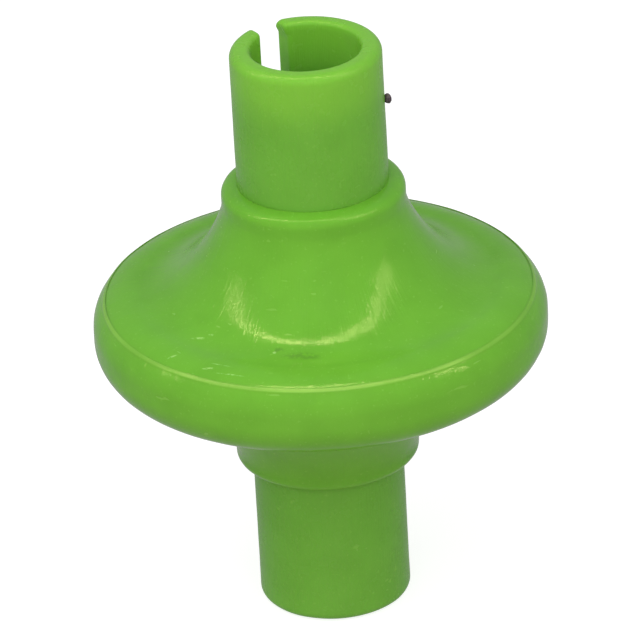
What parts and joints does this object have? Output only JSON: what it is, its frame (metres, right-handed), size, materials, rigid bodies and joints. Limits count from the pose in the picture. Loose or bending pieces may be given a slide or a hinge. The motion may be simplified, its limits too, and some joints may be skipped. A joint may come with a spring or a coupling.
{
  "type": "saliva ejector check valve",
  "caption": "In-line one-way valve for a saliva ejector tube: slotted inlet socket, saucer-shaped body with a floating check disc, and a plain outlet tube.",
  "frame": {"origin": "centre of the outlet tube's end face, where the part stands", "axes": "+Z along the common axis of both tubes, from the outlet towards the inlet socket; +X through the small gate nub on the inlet tube"},
  "size_m": [0.027, 0.027, 0.036],
  "materials": {
    "tube_green": "semi-gloss moulded lime green",
    "shell_green": "semi-gloss moulded lime green",
    "silicone": "matt translucent white"
  },
  "bodies": {
    "housing": {"inlet_tube": "tube_green", "inlet_shell": "shell_green", "outlet_shell": "shell_green", "outlet_tube": "tube_green"},
    "valve_disc": {"check_disc": "silicone"}
  },
  "joints": [
    {"name": "disc_lift", "type": "slide", "parent": "housing", "child": "valve_disc", "axis": [0, 0, 1], "range_m": [0, 0.0007]}
  ]
}
